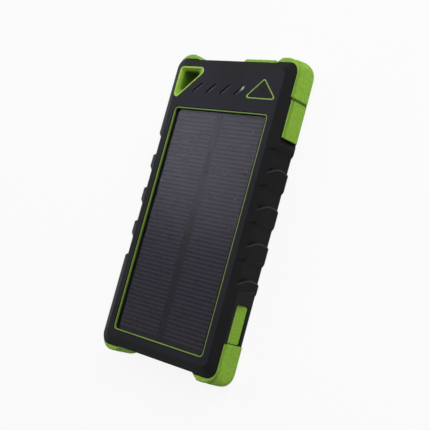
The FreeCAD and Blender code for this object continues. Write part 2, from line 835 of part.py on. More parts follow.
# ----------------------------------------------------- lights, button, switch
def light_pipe(centre):
    """Clear bar that fills one slot and flares to a flange behind the front wall."""
    bar = slot_plate(centre, slot_length - 2 * pipe_fit, slot_width - 2 * pipe_fit,
                     board_top + led_height, case_thickness - pipe_recess)
    flange = slot_plate(centre, slot_length + 2 * pipe_flange, slot_width + 2 * pipe_flange,
                        end_ceiling - pipe_flange_thickness, end_ceiling)
    return bar.fuse(flange).removeSplitter()


def charge_led(centre):
    return box(centre[0] - led_length / 2, centre[0] + led_length / 2,
               centre[1] - led_width / 2, centre[1] + led_width / 2, board_top, board_top + led_height)


surround_bottom = case_thickness + surround_proud - surround_depth
button_top = case_thickness - button_sink
button_hole = inset(button_corners, surround_band)
cap_corners = inset(button_corners, surround_band + button_gap)
flange_top = surround_bottom - button_flange_gap
flange_bottom = flange_top - button_flange
plunger_top = board_top + switch_height + plunger_stand


def button_surround():
    """Green triangle frame, held from behind by a lip."""
    fit = pipe_fit
    frame = plate(inset(button_corners, fit), button_corner_radius, surround_bottom,
                  case_thickness + surround_proud)
    lip = plate(inset(button_corners, -surround_lip), button_corner_radius + surround_lip,
                surround_bottom, end_ceiling)
    hole = plate(button_hole, button_corner_radius / 2, below, above)
    return frame.fuse(lip).cut(hole).removeSplitter()


def symbol_centre():
    return button_x, button_base_y + button_height * 0.36


def power_button():
    """Black cap, with a raised on-off mark, a flange behind its frame, and a stem."""
    cap = plate(cap_corners, button_corner_radius / 2, flange_bottom, button_top)
    flange = plate(inset(button_corners, surround_band - button_flange_reach), button_corner_radius / 2,
                   flange_bottom, flange_top)
    x, y = symbol_centre()
    stem = post(x, y, stem_radius, plunger_top, flange_bottom)
    mark = post(x, y, symbol_radius, button_top, button_top + symbol_height)
    mark = mark.cut([post(x, y, symbol_radius - symbol_line, below, above),
                     box(x - 2 * symbol_line, x + 2 * symbol_line, y, y + 2 * symbol_radius, below, above)])
    dash = box(x - symbol_line / 2, x + symbol_line / 2, y + 0.2, y + symbol_radius + symbol_line,
               button_top, button_top + symbol_height)
    return cap.fuse([flange, stem, mark, dash]).removeSplitter()


def switch_plunger():
    x, y = symbol_centre()
    return post(x, y, plunger_radius, plunger_top - plunger_stand - 0.4, plunger_top)


def tact_switch():
    x, y = symbol_centre()
    half = switch_size / 2
    body = box(x - half, x + half, y - half, y + half, board_top, board_top + switch_height)
    well = post(x, y, plunger_radius + plunger_fit,
                plunger_top - plunger_stand - 0.4 - button_travel - 0.1, above)
    return body.cut(well)


# -------------------------------------------------------------------- sockets
def usb_socket(front, centre, across):
    """Folded sheet shell and plastic tongue; the mouth faces +X, or +Y when across is set."""
    half = usb_width / 2
    z0, z1 = port_height - usb_height / 2, port_height + usb_height / 2
    shell = box(front - usb_depth, front, -half, half, z0, z1)
    shell = shell.cut(box(front - usb_depth + usb_sheet, front + 1, -half + usb_sheet, half - usb_sheet,
                          z0 + usb_sheet, z1 - usb_sheet))
    inner = half - usb_sheet
    back = box(front - usb_depth + usb_sheet, front - usb_depth + usb_sheet + usb_back, -inner, inner,
               z0 + usb_sheet, z1 - usb_sheet)
    tongue = box(front - usb_depth + usb_sheet, front - 1.2, -inner + 0.6, inner - 0.6,
                 z1 - usb_sheet - 0.4 - usb_tongue, z1 - usb_sheet - 0.4)
    insert = back.fuse(tongue).removeSplitter()
    for piece in (shell, insert):
        if across:
            piece.rotate(Vec(0, 0, 0), Vec(0, 0, 1), 90)
            piece.translate(Vec(centre, 0, 0))
        else:
            piece.translate(Vec(0, centre, 0))
    return shell, insert


def micro_socket():
    front = charge_seat - micro_setback
    half = micro_width / 2
    z0, z1 = charge_port_height - micro_height / 2, charge_port_height + micro_height / 2
    shell = box(front - micro_depth, front, charge_port_y - half, charge_port_y + half, z0, z1)
    inner = half - micro_sheet
    shell = shell.cut(box(front - micro_depth + micro_sheet, front + 1, charge_port_y - inner,
                          charge_port_y + inner, z0 + micro_sheet, z1 - micro_sheet))
    tongue = box(front - micro_depth + micro_sheet, front - 0.8, charge_port_y - inner + 1.2,
                 charge_port_y + inner - 1.2, charge_port_height - micro_tongue / 2,
                 charge_port_height + micro_tongue / 2)
    back = box(front - micro_depth + micro_sheet, front - micro_depth + micro_sheet + 1.0,
               charge_port_y - inner, charge_port_y + inner, z0 + micro_sheet, z1 - micro_sheet)
    return shell, back.fuse(tongue).removeSplitter()


# --------------------------------------------------------------------- boards
def main_board():
    board = box(board_left, board_right, board_low_edge, board_high_edge, board_bottom, board_top)
    board = board.common(plate(rectangle(board_right, board_high_edge), cavity_radius, board_bottom, board_top))
    cuts = [plate(inset(eyelet_corners, -well_wall - board_fit), eyelet_radius + well_wall + board_fit,
                  below, above)]
    cuts += [post(x, y, boss_radius + board_fit, below, above) for x, y in boss_places]
    cuts += [post(x, y, small_shank_radius + screw_fit, below, above) for x, y in board_screws]
    cuts.append(box(board_left - 1, eyelet_left + eyelet_leg_x - 2, eyelet_top - eyelet_leg_y,
                    board_high_edge + 1, below, above))
    return board.cut(cuts)


def charge_board():
    half = charge_board_length / 2
    board = box(charge_board_edge, board_right, charge_port_y - half,
                charge_port_y + half, charge_board_bottom, charge_board_top)
    return board.cut([post(x, y, small_shank_radius + screw_fit, below, above) for x, y in charge_screws])


def charge_ribbon():
    return box(charge_board_edge, charge_board_edge + ribbon_width, charge_port_y - 4.0,
               board_low_edge + ribbon_overlap, charge_board_top, board_bottom)


# -------------------------------------------------------------------- battery
guard_board_height = battery_bottom + guard_board_rise
guard_top = guard_board_height + guard_board_thickness


def battery_pouch():
    centre = (battery_low + battery_end) / 2
    half = (battery_end - battery_low) / 2
    return plate(rectangle(battery_half_width, half, 0, centre), battery_radius, battery_bottom, battery_top)


def battery_sheet(z0, z1):
    """Two strips of foam or tape along the pouch."""
    strips = []
    for sign in (-1, 1):
        outer = sign * (battery_half_width - pad_inset)
        x0, x1 = sorted((outer, outer - sign * pad_width))
        strips.append(box(x0, x1, battery_low + pad_inset, battery_end - pad_inset, z0, z1))
    return Part.makeCompound(strips)


def guard_board():
    return box(-guard_board_width / 2, guard_board_width / 2, battery_end,
               battery_end + guard_board_depth, guard_board_height, guard_top)


def battery_tabs():
    tabs = []
    for sign in (-1, 1):
        x = tab_x + sign * tab_spacing / 2 / 2
        tabs.append(box(x - tab_width / 2, x + tab_width / 2, battery_end,
                        battery_end + guard_board_depth - 0.4, guard_top, guard_top + tab_thickness))
    return Part.makeCompound(tabs)


def battery_leads():
    wires = []
    for sign in (-1, 1):
        start = Vec(connector_x + sign * wire_spacing / 2, battery_end + 0.6, guard_top + wire_radius)
        reach = connector_y - connector_depth / 2 - start.y
        wires.append(Part.makeCylinder(wire_radius, reach, start, Vec(0, 1, 0)))
    return Part.makeCompound(wires)


def solar_leads():
    return Part.makeCompound([post(solar_wire_x + sign * wire_spacing / 2, solar_wire_y, wire_radius,
                                   board_top, solar_board_bottom) for sign in (-1, 1)])


# --------------------------------------------------------------------- screws
def case_screw(x, y):
    head = Part.makeCone(screw_head_radius, screw_shank_radius, screw_head_height, Vec(x, y, screw_recess))
    shank = post(x, y, screw_shank_radius, screw_recess, screw_recess + screw_length)
    reach = screw_head_radius * 0.7
    slots = [box(x - reach, x + reach, y - driver_slot / 2, y + driver_slot / 2,
                 screw_recess - 1, screw_recess + driver_depth),
             box(x - driver_slot / 2, x + driver_slot / 2, y - reach, y + reach,
                 screw_recess - 1, screw_recess + driver_depth)]
    return head.fuse(shank).removeSplitter().cut(slots)


def board_screw(x, y, underside):
    """Pan-head screw that clamps a board up against its post."""
    head = post(x, y, small_head_radius, underside - small_head_height, underside)
    shank = post(x, y, small_shank_radius, underside, underside + small_screw_length - 0.2)
    slot = box(x - small_head_radius * 0.7, x + small_head_radius * 0.7, y - driver_slot / 2,
               y + driver_slot / 2, underside - small_head_height - 1, underside - driver_slot)
    return head.fuse(shank).removeSplitter().cut(slot)


# ------------------------------------------------------------------ write all
block = case_block()
save("front_housing", front_housing(block))
save("rear_cover", rear_cover(block))

top_right = corner_bumper(bumper_side_end)
low_right = corner_bumper(-bumper_low_side_end)
hinge_seat = post(side_hinge[0], side_hinge[1], hinge_bead_radius + hinge_fit, below, above)
eyelet_room = plate(eyelet_corners, eyelet_radius, below, above)
save("corner_bumper_top_left", mirrored(top_right, -1, 1).cut(eyelet_room))
save("corner_bumper_top_right", top_right.cut([hinge_seat, hinge_cut(1)]))
save("corner_bumper_bottom_left", mirrored(low_right, -1, -1))
save("corner_bumper_bottom_right", mirrored(low_right, 1, -1))
save("side_port_flap", side_port_flap())
save("end_port_flap", end_port_flap())
save("charge_port_flap", charge_port_flap())

save("lanyard_eyelet", lanyard_eyelet())
save("window_ring", window_ring())
save("panel_tape", panel_tape())
save("solar_board", panel_sheet(solar_board_bottom, solar_board_top))
cells = {"left": solar_cell(-1), "right": solar_cell(1)}
for side, cell in cells.items():
    save("solar_cell_" + side, cell)
save("bus_strip", bus_strip())
film = panel_sheet(solar_board_top, film_top).cut([cells["left"], cells["right"], bus_strip()])
save("panel_film", film)

for number, centre in enumerate(slot_centres, start=1):
    save("light_pipe_" + str(number), light_pipe(centre))
    save("charge_led_" + str(number), charge_led(centre))
save("button_surround", button_surround())
save("power_button", power_button())
save("switch_plunger", switch_plunger())
save("tact_switch", tact_switch())

side_front = side_flap_seat - usb_setback
end_front = end_seat - usb_setback
for name, (shell, insert) in {"side": usb_socket(side_front, side_port_y, False),
                              "end": usb_socket(end_front, end_port_x(), True)}.items():
    save("usb_shell_" + name, shell)
    save("usb_tongue_" + name, insert)
micro_shell, micro_insert = micro_socket()
save("micro_usb_shell", micro_shell)
save("micro_usb_tongue", micro_insert)

save("main_board", main_board())
save("charge_board", charge_board())
save("charge_ribbon", charge_ribbon())
save("boost_inductor", plate(rectangle(inductor_size / 2, inductor_size / 2, inductor_x,
                                       board_low_edge + inductor_rise), inductor_corner,
                             board_bottom - inductor_height, board_bottom))
save("capacitors", Part.makeCompound([
    post(board_left + capacitor_inset + capacitor_pitch * i, board_low_edge + capacitor_rise, capacitor_radius,
         board_bottom - capacitor_height, board_bottom) for i in (-1, 0)]))
chip_y = board_low_edge + chip_rise
save("controller_chip", box(chip_x - chip_size / 2, chip_x + chip_size / 2, chip_y - chip_size / 2,
                            chip_y + chip_size / 2, board_bottom - chip_height, board_bottom))
save("battery_connector", box(connector_x - connector_width / 2, connector_x + connector_width / 2,
                              connector_y - connector_depth / 2, connector_y + connector_depth / 2,
                              board_bottom - connector_height, board_bottom))

save("battery_pouch", battery_pouch())
save("battery_tape", battery_sheet(floor_thickness, battery_bottom))
save("battery_pads", battery_sheet(battery_top, ceiling))
save("guard_board", guard_board())
save("battery_tabs", battery_tabs())
save("battery_leads", battery_leads())
save("solar_leads", solar_leads())

save("case_seal", seal_groove(seam_height, seam_height + seal_height))
save("case_screws", Part.makeCompound([case_screw(x, y) for x, y in boss_places]))
screws = [board_screw(x, y, board_bottom) for x, y in board_screws]
screws += [board_screw(x, y, charge_board_bottom) for x, y in charge_screws]
save("board_screws", Part.makeCompound(screws))
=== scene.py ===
# %% [markdown]
# # A solar phone charger
#
# The real object is a black plastic case about 165 mm long, with a solar panel under a clear
# film, green rubber guards on its corners, rubber flaps over its sockets and a three-sided
# eyelet for a cord. The solid parts come from a CAD model at their real size. This file gives
# them soft edges, fine detail and materials.
#
# One Blender unit is one metre, so small sizes are written in millimetres and multiplied by mm.

# %% Load the parts
import bpy
import math
from mathutils import Matrix, Vector


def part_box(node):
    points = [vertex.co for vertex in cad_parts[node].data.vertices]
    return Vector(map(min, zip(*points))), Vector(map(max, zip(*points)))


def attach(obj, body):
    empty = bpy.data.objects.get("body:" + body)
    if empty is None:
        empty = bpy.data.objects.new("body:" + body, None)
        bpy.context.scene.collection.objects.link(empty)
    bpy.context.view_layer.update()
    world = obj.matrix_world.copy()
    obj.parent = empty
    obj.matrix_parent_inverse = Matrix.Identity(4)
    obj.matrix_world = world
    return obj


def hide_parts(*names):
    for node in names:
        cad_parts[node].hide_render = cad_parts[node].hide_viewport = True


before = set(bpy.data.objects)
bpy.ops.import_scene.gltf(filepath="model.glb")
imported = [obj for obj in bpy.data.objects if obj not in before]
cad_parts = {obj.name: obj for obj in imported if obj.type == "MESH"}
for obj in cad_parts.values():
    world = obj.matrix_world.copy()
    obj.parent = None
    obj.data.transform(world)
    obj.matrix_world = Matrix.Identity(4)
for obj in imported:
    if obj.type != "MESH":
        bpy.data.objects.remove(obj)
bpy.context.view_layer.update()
mm = 0.001

# %% [markdown]
# ## The camera
#
# A product like this is shown lying on its back, seen from above its right side with a long
# lens. A camera can be aimed with a Track To constraint, but that keeps it level. This one is
# also turned a little about the lens's axis, so its three directions are worked out from where
# it stands, where it looks, and which way is up in the picture.

# %% Set the camera
camera_place = Vector((340.15, -41.64, 365.30)) * mm
sight_line = Vector((-0.67975, 0.08331, -0.72870))
picture_up = Vector((-0.13831, 0.96115, 0.23890))
focal_length = 80
sensor_width = 36

lens = bpy.data.cameras.new("camera")
lens.lens = focal_length
lens.sensor_width = sensor_width
camera = bpy.data.objects.new("camera", lens)
bpy.context.scene.collection.objects.link(camera)
back = -sight_line.normalized()
side = picture_up.cross(back).normalized()
up = back.cross(side)
turn = Matrix((side, up, back)).transposed()
camera.matrix_world = Matrix.Translation(camera_place) @ turn.to_4x4()
bpy.context.scene.camera = camera
bpy.context.scene.view_settings.view_transform = "Standard"
print("camera is", round(camera_place.length, 3), "m from the charger")

# %% [markdown]
# ## A white background
#
# The charger lies on a plain white table. Strong lamps would whiten the table, but they would
# bleach the charger too. So the table and the world are made white wherever they are looked at:
# straight, in a reflection or through something clear. For all other light they stay an
# ordinary table and a dim room. The Light Path node tells those rays apart.

# %% Tell a look from other light
looks = ("Is Camera Ray", "Is Glossy Ray", "Is Transmission Ray")


def direct_look(tree, share):
    """The given share where a surface is looked at, and 0 where it only lights others."""
    rays = tree.nodes.new("ShaderNodeLightPath")
    total = rays.outputs[looks[0]]
    for kind in looks[1:]:
        either = tree.nodes.new("ShaderNodeMath")
        either.operation = "MAXIMUM"
        tree.links.new(total, either.inputs[0])
        tree.links.new(rays.outputs[kind], either.inputs[1])
        total = either.outputs[0]
    scaled = tree.nodes.new("ShaderNodeMath")
    scaled.operation = "MULTIPLY"
    scaled.inputs[1].default_value = share
    tree.links.new(total, scaled.inputs[0])
    return scaled.outputs[0]


print("white for", len(looks), "kinds of ray")

# %% [markdown]
# ## The table
#
# One large plane is enough for a table top. Nine tenths of what is seen of it is plain white,
# and the last tenth is a real matt surface, which takes a soft shadow from the charger. A table
# of pure white would let the charger float.

# %% Lay the floor
floor_size = 3.0
white_share = 0.9
bpy.ops.object.select_all(action="DESELECT")
bpy.ops.mesh.primitive_plane_add(size=floor_size, location=(0, 0, 0))
floor = bpy.context.object
floor.name = "floor"
bpy.ops.object.transform_apply(location=True, rotation=True, scale=True)

white = bpy.data.materials.new("white table")
white.use_nodes = True
tree = white.node_tree
table = tree.nodes["Principled BSDF"]
table.inputs["Base Color"].default_value = (0.80, 0.80, 0.80, 1)
table.inputs["Roughness"].default_value = 0.9
table.inputs["Specular IOR Level"].default_value = 0.1
glow = tree.nodes.new("ShaderNodeEmission")
glow.inputs["Color"].default_value = (1, 1, 1, 1)
glow.inputs["Strength"].default_value = 1.0
blend = tree.nodes.new("ShaderNodeMixShader")
tree.links.new(direct_look(tree, white_share), blend.inputs["Fac"])
tree.links.new(table.outputs[0], blend.inputs[1])
tree.links.new(glow.outputs[0], blend.inputs[2])
tree.links.new(blend.outputs[0], tree.nodes["Material Output"].inputs["Surface"])
floor.data.materials.append(white)
print("floor", floor_size, "m across,", white_share, "of it white")

# %% [markdown]
# ## The room
#
# A tent of white cloth round a product gives it a weak even light from all sides. Many faint
# lamps could do that, but the world does it by itself. It is a touch cool, so that no shadow on
# the black plastic goes quite black.

# %% Fill the room with even light
room_level = 0.17
room = bpy.data.worlds.new("room")
room.use_nodes = True
bpy.context.scene.world = room
tree = room.node_tree
around = tree.nodes["Background"]
around.inputs["Color"].default_value = (0.93, 0.95, 1.0, 1)
around.inputs["Strength"].default_value = room_level
plain = tree.nodes.new("ShaderNodeBackground")
plain.inputs["Color"].default_value = (1, 1, 1, 1)
choose = tree.nodes.new("ShaderNodeMixShader")
tree.links.new(direct_look(tree, 1.0), choose.inputs["Fac"])
tree.links.new(around.outputs[0], choose.inputs[1])
tree.links.new(plain.outputs[0], choose.inputs[2])
tree.links.new(choose.outputs[0], tree.nodes["World Output"].inputs["Surface"])
print("room light", room_level)

# %% [markdown]
# ## The lamps
#
# Three large square lamps shape the form. One stands behind the charger on its left, where the
# flat front mirrors it towards the camera, and gives the panel its sheen. One beyond the top end
# on the right lights the rubber on that side, and one hangs above. Area lamps are used because
# their size sets how soft a shadow or a highlight is, and a point lamp gives hard ones.


# %% Hang the lamps
def lamp(name, place, aim, size, power, colour=(1, 1, 1)):
    """A square soft lamp at a place, turned to its aim, both in metres."""
    light = bpy.data.lights.new(name, "AREA")
    light.size = size
    light.energy = power
    light.color = colour
    holder = bpy.data.objects.new(name, light)
    bpy.context.scene.collection.objects.link(holder)
    holder.location = place
    holder.rotation_mode = "QUATERNION"
    holder.rotation_quaternion = (Vector(aim) - Vector(place)).to_track_quat("-Z", "Y")
    print(name, power, "W")


lamp("sheen lamp", (-0.77, 0.40, 0.62), (0, 0.05, 0), 0.60, 4.1, (0.83, 0.82, 1.0))
lamp("side lamp", (0.56, 0.64, 0.36), (0, 0, 0), 0.6, 4.5)
lamp("top lamp", (0.30, 0.30, 0.95), (0, 0, 0), 0.8, 3.3)

# %% [markdown]
# ## Materials
#
# Every finish starts from the same base: Blender's Principled shader with a plain colour, a
# roughness and a share of gloss. Image textures would need files and an unwrapped mesh. Nodes
# on Object coordinates need neither: their grain has a real size in metres, and it stays on the
# part when the part moves.


# %% Start a finish
def finish(name, colour, roughness, specular=0.5):
    """A new material, with its node tree, its shader and its Object coordinates."""
    material = bpy.data.materials.new(name)
    material.use_nodes = True
    tree = material.node_tree
    shader = tree.nodes["Principled BSDF"]
    shader.inputs["Base Color"].default_value = (*colour, 1)
    shader.inputs["Roughness"].default_value = roughness
    shader.inputs["Specular IOR Level"].default_value = specular
    place = tree.nodes.new("ShaderNodeTexCoord").outputs["Object"]
    return material, tree, shader, place


print("finishes read Object coordinates, in metres")

# %% [markdown]
# ### Grain
#
# No real surface is even. A Noise texture gives the unevenness, and its Scale is one over the
# size of its spots. Most of its values lie near a half, so they are stretched over the whole
# range, and clouds are such a stretched noise, in soft patches.


# %% Make grain
def noise(tree, place, size, detail=2.0):
    """Grain of the given size in metres, from 0 to 1."""
    grain = tree.nodes.new("ShaderNodeTexNoise")
    grain.inputs["Scale"].default_value = 1 / size
    grain.inputs["Detail"].default_value = detail
    tree.links.new(place, grain.inputs["Vector"])
    return grain.outputs["Fac"]


def stretch(tree, value, low, high, new_low, new_high):
    """Map one range of values to another, and stop at its ends."""
    ramp = tree.nodes.new("ShaderNodeMapRange")
    ramp.inputs["From Min"].default_value = low
    ramp.inputs["From Max"].default_value = high
    ramp.inputs["To Min"].default_value = new_low
    ramp.inputs["To Max"].default_value = new_high
    tree.links.new(value, ramp.inputs["Value"])
    return ramp.outputs["Result"]


def clouds(tree, place, size, detail=2.0, most=1.0):
    """Soft patches of the given size in metres, from 0 to the most."""
    return stretch(tree, noise(tree, place, size, detail), 0.35, 0.65, 0, most)


print("a grain of 1 mm has a scale of", round(1 / mm))

# %% [markdown]
# ### Colour, relief and gloss from grain
#
# The grain then does three things. It mixes two close colours, it raises a fine relief through a
# Bump node, and it makes the gloss uneven. Real relief would take millions of faces, and at this
# depth, a tenth of a millimetre, nobody could tell the two apart.


# %% Use the grain
def mix_colours(tree, value, low, high):
    """Mix two colours by a value; each may be a plain colour or another mix."""
    mix = tree.nodes.new("ShaderNodeMix")
    mix.data_type = "RGBA"
    for socket, colour in (("A", low), ("B", high)):
        if isinstance(colour, tuple):
            mix.inputs[socket].default_value = (*colour, 1)
        else:
            tree.links.new(colour, mix.inputs[socket])
    tree.links.new(value, mix.inputs["Factor"])
    return mix.outputs["Result"]


def relief(tree, shader, value, depth, strength=1.0):
    """Raise the surface by a value; the strength may be a number or another value."""
    bump = tree.nodes.new("ShaderNodeBump")
    bump.inputs["Distance"].default_value = depth
    if isinstance(strength, float):
        bump.inputs["Strength"].default_value = strength
    else:
        tree.links.new(strength, bump.inputs["Strength"])
    tree.links.new(value, bump.inputs["Height"])
    tree.links.new(bump.outputs["Normal"], shader.inputs["Normal"])


def uneven_gloss(tree, shader, grain, smooth, rough):
    """Let the roughness follow a grain, from the smooth spots to the rough ones."""
    roughness = stretch(tree, grain, 0.3, 0.7, smooth, rough)
    tree.links.new(roughness, shader.inputs["Roughness"])


print("a grain can drive colour, relief and gloss")

# %% [markdown]
# ### Black plastic
#
# The front shell has a fine matt spark finish from its mould, and low on the side walls the grain
# turns to a deeper stipple that gives the fingers a hold. Two materials with a seam between them
# would need the wall to be cut there. One material whose relief grows towards the back needs no
# cut. The flat front, the highest part, is coloured a touch paler and bluer as painted sheen.


# %% Black case
stipple_low, stipple_high = 4 * mm, 8 * mm
# heights over which the painted sheen of the front face comes in
face_sheen_start, face_sheen_full = 18.2 * mm, 18.45 * mm


def height_of(tree, place):
    """How high a point is above the back of the charger, in metres."""
    parts = tree.nodes.new("ShaderNodeSeparateXYZ")
    tree.links.new(place, parts.inputs[0])
    return parts.outputs["Z"]


def case_plastic():
    """Matt black, rougher low on the walls, and a touch bluer and paler on the front face as
    painted sheen.
    """
    material, tree, shader, place = finish("case black", (0.008, 0.008, 0.009), 0.54, 0.08)
    height = height_of(tree, place)
    cloud = clouds(tree, place, 30 * mm)
    # painted sheen: the front face is coloured paler and bluer than the walls, for the lamps' gleam
    # on it
    wall = mix_colours(tree, cloud, (0.0040, 0.0043, 0.0043), (0.0060, 0.0063, 0.0068))
    face = mix_colours(tree, cloud, (0.0095, 0.0093, 0.0115), (0.0135, 0.0130, 0.0180))
    flat = stretch(tree, height, face_sheen_start, face_sheen_full, 0, 1)
    tree.links.new(mix_colours(tree, flat, wall, face), shader.inputs["Base Color"])
    fine = noise(tree, place, 0.35 * mm, 3.0)
    coarse = stretch(tree, height, stipple_low, stipple_high, 0.55, 0.12)
    relief(tree, shader, fine, 0.12 * mm, coarse)
    uneven_gloss(tree, shader, fine, 0.48, 0.60)
    return material


case_black = case_plastic()
print(case_black.name, "is stippled below", round(stipple_high / mm, 1), "mm")

# %% [markdown]
# ### Stippled cover
#
# The back shell is the same black with a coarse stipple all over, which hides scratches from the
# table. The front's fine grain would look too smooth here. A larger noise with little detail
# gives round bumps, like those of a mould etched with acid.


# %% Back cover
def cover_plastic():
    """Matt black with a coarse stipple all over."""
    material, tree, shader, place = finish("cover black", (0.008, 0.008, 0.009), 0.62, 0.08)
    cloud = clouds(tree, place, 30 * mm)
    tone = mix_colours(tree, cloud, (0.0065, 0.0065, 0.0075), (0.0095, 0.0093, 0.0120))
    tree.links.new(tone, shader.inputs["Base Color"])
    stipple = noise(tree, place, 0.9 * mm, 1.0)
    relief(tree, shader, stipple, 0.25 * mm, 0.8)
    uneven_gloss(tree, shader, stipple, 0.56, 0.68)
    return material


cover_black = cover_plastic()
print(cover_black.name, "made")

# %% [markdown]
# ### Painted shade along a part
#
# Shade falls in grooves and wells, so rubber looks darker there, and here that shade is painted
# into the colour. Painting it by hand takes an image. Each of these grooves lies square to one
# axis, so a colour ramp along that axis can place the shade, with a stop wherever it changes.


# %% Shade by place
def share_along(tree, place, axis, stops):
    """A share that changes along X, Y or Z; each stop gives a place in mm and the share there."""
    parts = tree.nodes.new("ShaderNodeSeparateXYZ")
    tree.links.new(place, parts.inputs[0])
    start, end = stops[0][0], stops[-1][0]
    along = stretch(tree, parts.outputs[axis], start * mm, end * mm, 0, 1)
    ramp = tree.nodes.new("ShaderNodeValToRGB")
    elements = ramp.color_ramp.elements
    for number, (position, share) in enumerate(stops):
        if number == 0:
            stop = elements[0]
        elif number == len(stops) - 1:
            stop = elements[-1]
        else:
            stop = elements.new((position - start) / (end - start))
        stop.color = (share, share, share, 1)
    tree.links.new(along, ramp.inputs[0])
    return ramp.outputs[0]


# painted shade: a share of 1 keeps the clean colour, and a lower share darkens it towards a shadow
# tone
guard_groove_shade = "Z", [(12.4, 1), (13.9, 0.7), (14.65, 0.4), (14.8, 1)]
flap_groove_shade = "Z", [(11.1, 1), (12.5, 0.65), (13.3, 0.3), (13.5, 1)]
hinge_shade = "Y", [(60.9, 1), (61.6, 0.15)]
window_foot_shade = "Z", [(16.85, 0.35), (17.4, 0.55), (17.8, 0.8), (18.1, 1)]
well_back_shade = [(0.1, 0.6), (1.5, 0.25), (4.0, 0.08)]
well_front_shade = [(14.0, 0.14), (17.0, 0.40), (18.2, 0.65), (18.45, 1)]
eyelet_well_shade = "Z", well_back_shade + well_front_shade
for axis, stops in (guard_groove_shade, flap_groove_shade, hinge_shade, window_foot_shade, eyelet_well_shade):
    print("shaded along", axis, "from", stops[0][0], "to", stops[-1][0], "mm")

# %% [markdown]
# ### Green rubber
#
# The guards, flaps and eyelet are a lime rubber with a dry surface. Close up it is speckled with
# small paler and darker spots, and its skin is finely uneven. The guards and the side flap have
# a lip along the front, and the groove under it is painted darker as shade. So are the side flap's
# hinge, the inside of the eyelet and the foot of the window's trim. The trim is a smoother green
# plastic. It could have a recipe of its own, but the same one with other tones serves it.


# %% Mix the greens
def green_rubber(name, dark, light, roughness, shades=(), gloss=0.3):
    """Lime rubber with specks, paler clouds, a fine skin and any painted shade along it."""
    material, tree, shader, place = finish(name, light, roughness, gloss)
    speck = stretch(tree, noise(tree, place, 0.9 * mm, 5.0), 0.36, 0.64, 0, 1)
    cloud = clouds(tree, place, 5 * mm, 3.0, 0.45)
    middle = tuple((low + high) / 2 for low, high in zip(dark, light))
    shadow = tuple(tone * share for tone, share in zip(dark, (0.06, 0.15, 0.04)))
    colour = mix_colours(tree, cloud, mix_colours(tree, speck, dark, light), middle)
    # painted shade: each ramp darkens the colour towards the shadow tone where its share is low
    for axis, stops in shades:
        colour = mix_colours(tree, share_along(tree, place, axis, stops), shadow, colour)
    tree.links.new(colour, shader.inputs["Base Color"])
    skin = noise(tree, place, 0.3 * mm, 3.0)
    relief(tree, shader, skin, 0.15 * mm, 0.35)
    uneven_gloss(tree, shader, skin, roughness - 0.08, roughness + 0.08)
    return material


lime = (0.185, 0.368, 0.024), (0.305, 0.533, 0.049)
bright_lime = (0.33, 0.56, 0.06), (0.48, 0.76, 0.09)
trim_lime = (0.16, 0.275, 0.03), (0.21, 0.35, 0.04)
guard_green = green_rubber("guard green", *lime, 0.68, [guard_groove_shade])
flap_green = green_rubber("flap green", *lime, 0.68, [flap_groove_shade, hinge_shade])
plain_green = green_rubber("plain green", *lime, 0.68)
eyelet_green = green_rubber("eyelet green", *bright_lime, 0.5, [eyelet_well_shade], 0.12)
trim_green = green_rubber("trim green", *trim_lime, 0.40, [window_foot_shade], 0.32)
print(sum("green" in material.name for material in bpy.data.materials), "greens")

# %% [markdown]
# ### The solar cells
#
# Silicon cells look almost black with a violet cast, and they lie under a smooth clear film. A
# film of glass with light bent through it is slow to render and noisy. So what lies under the
# film has no gloss of its own, and gets a clear coat that mirrors the light as the film would.
# The board shows between the cells and the trim, and the bus strip between the two columns. The
# fingers printed across a cell are hair-thin and bright. The lines that stand for them are
# broader, so their silver is toned down.


# %% Finishes under the film
coat_roughness = 0.21


def under_film(name, dark, light, size, coat):
    """Something flat that is seen through the panel's film, which lends it a sheen."""
    material, tree, shader, place = finish(name, light, 0.6, 0.0)
    cloud = clouds(tree, place, size, 3.0)
    tree.links.new(mix_colours(tree, cloud, dark, light), shader.inputs["Base Color"])
    tree.links.new(stretch(tree, cloud, 0, 1, 0.55, 0.65), shader.inputs["Roughness"])
    relief(tree, shader, cloud, 0.02 * mm, 0.2)
    shader.inputs["Coat Weight"].default_value = coat
    shader.inputs["Coat Roughness"].default_value = coat_roughness
    return material


cell_tones = (0.0062, 0.0052, 0.0118), (0.0082, 0.0070, 0.0152)
bus_tones = (0.0050, 0.0047, 0.0080), (0.0070, 0.0066, 0.0105)
finger_tones = (0.0215, 0.0185, 0.0330), (0.0265, 0.0225, 0.0390)
board_tones = (0.0095, 0.0088, 0.0125), (0.0135, 0.0125, 0.0180)
cell_violet = under_film("cell violet", *cell_tones, 6 * mm, 0.49)
bus_dark = under_film("bus dark", *bus_tones, 3 * mm, 0.50)
finger_silver = under_film("finger silver", *finger_tones, 3 * mm, 0.51)
board_black = under_film("board black", *board_tones, 5 * mm, 0.44)
print("four finishes with a coat of roughness", coat_roughness)

# %% [markdown]
# ### The clear film
#
# With the gloss given to what lies below, the film only has to veil it a little, as a plastic
# that has been handled does. A Transmission value would bend the light too. A low alpha lets it
# straight through.


# %% Clear film
def clear_film():
    """A film that is hardly seen itself: it only greys what lies under it a little."""
    material, tree, shader, place = finish("clear film", (0.02, 0.02, 0.022), 0.25, 0.0)
    shader.inputs["Alpha"].default_value = 0.06
    scuff = noise(tree, place, 2 * mm, 4.0)
    relief(tree, shader, scuff, 0.01 * mm, 0.2)
    tree.links.new(stretch(tree, scuff, 0.4, 0.7, 0.20, 0.32), shader.inputs["Roughness"])
    return material


film_clear = clear_film()
print(film_clear.name, "made")

# %% [markdown]
# ### Light pipes
#
# Four rods of smoked clear plastic carry the light of four small lights on the board up to the
# slots, and the last one is lit green. Unlit they look black, so a dark colour serves as well as
# real clearness. A Blender lamp inside the rod would light its whole slot and the case round it.
# The glow is emission in the material instead, with a ramp that puts most of it towards one end
# of the slot.


